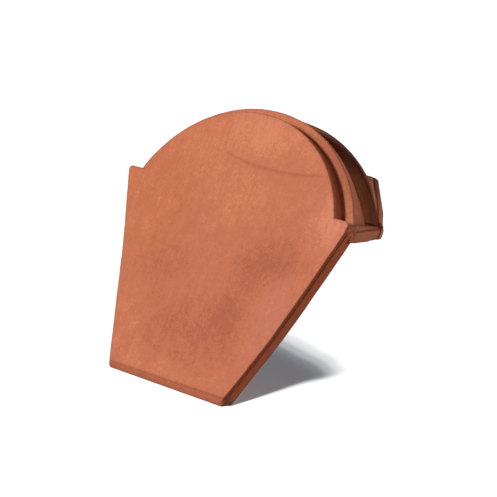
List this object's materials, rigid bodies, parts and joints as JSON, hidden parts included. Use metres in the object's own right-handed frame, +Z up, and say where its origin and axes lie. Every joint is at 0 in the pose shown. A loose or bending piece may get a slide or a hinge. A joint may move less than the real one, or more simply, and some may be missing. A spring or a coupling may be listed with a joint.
{
  "type": "ridge end tile",
  "caption": "Terracotta ridge end tile: leaning shouldered face plate with a hollow ribbed collar behind it that carries the last ridge tile.",
  "frame": {"origin": "middle of the seat plane: on the mirror plane, level with the two wings' undersides, halfway between the plate's back and the rear rim", "axes": "+Z up, +Y back along the roof ridge (the face plate looks towards -Y and leans back at its top), +X to the right seen from the front"},
  "size_m": [0.27, 0.1581, 0.2713],
  "materials": {
    "terracotta": "matt unglazed fired clay, fine sanded face"
  },
  "bodies": {
    "root": {"ridge_end_tile": "terracotta"}
  },
  "joints": []
}
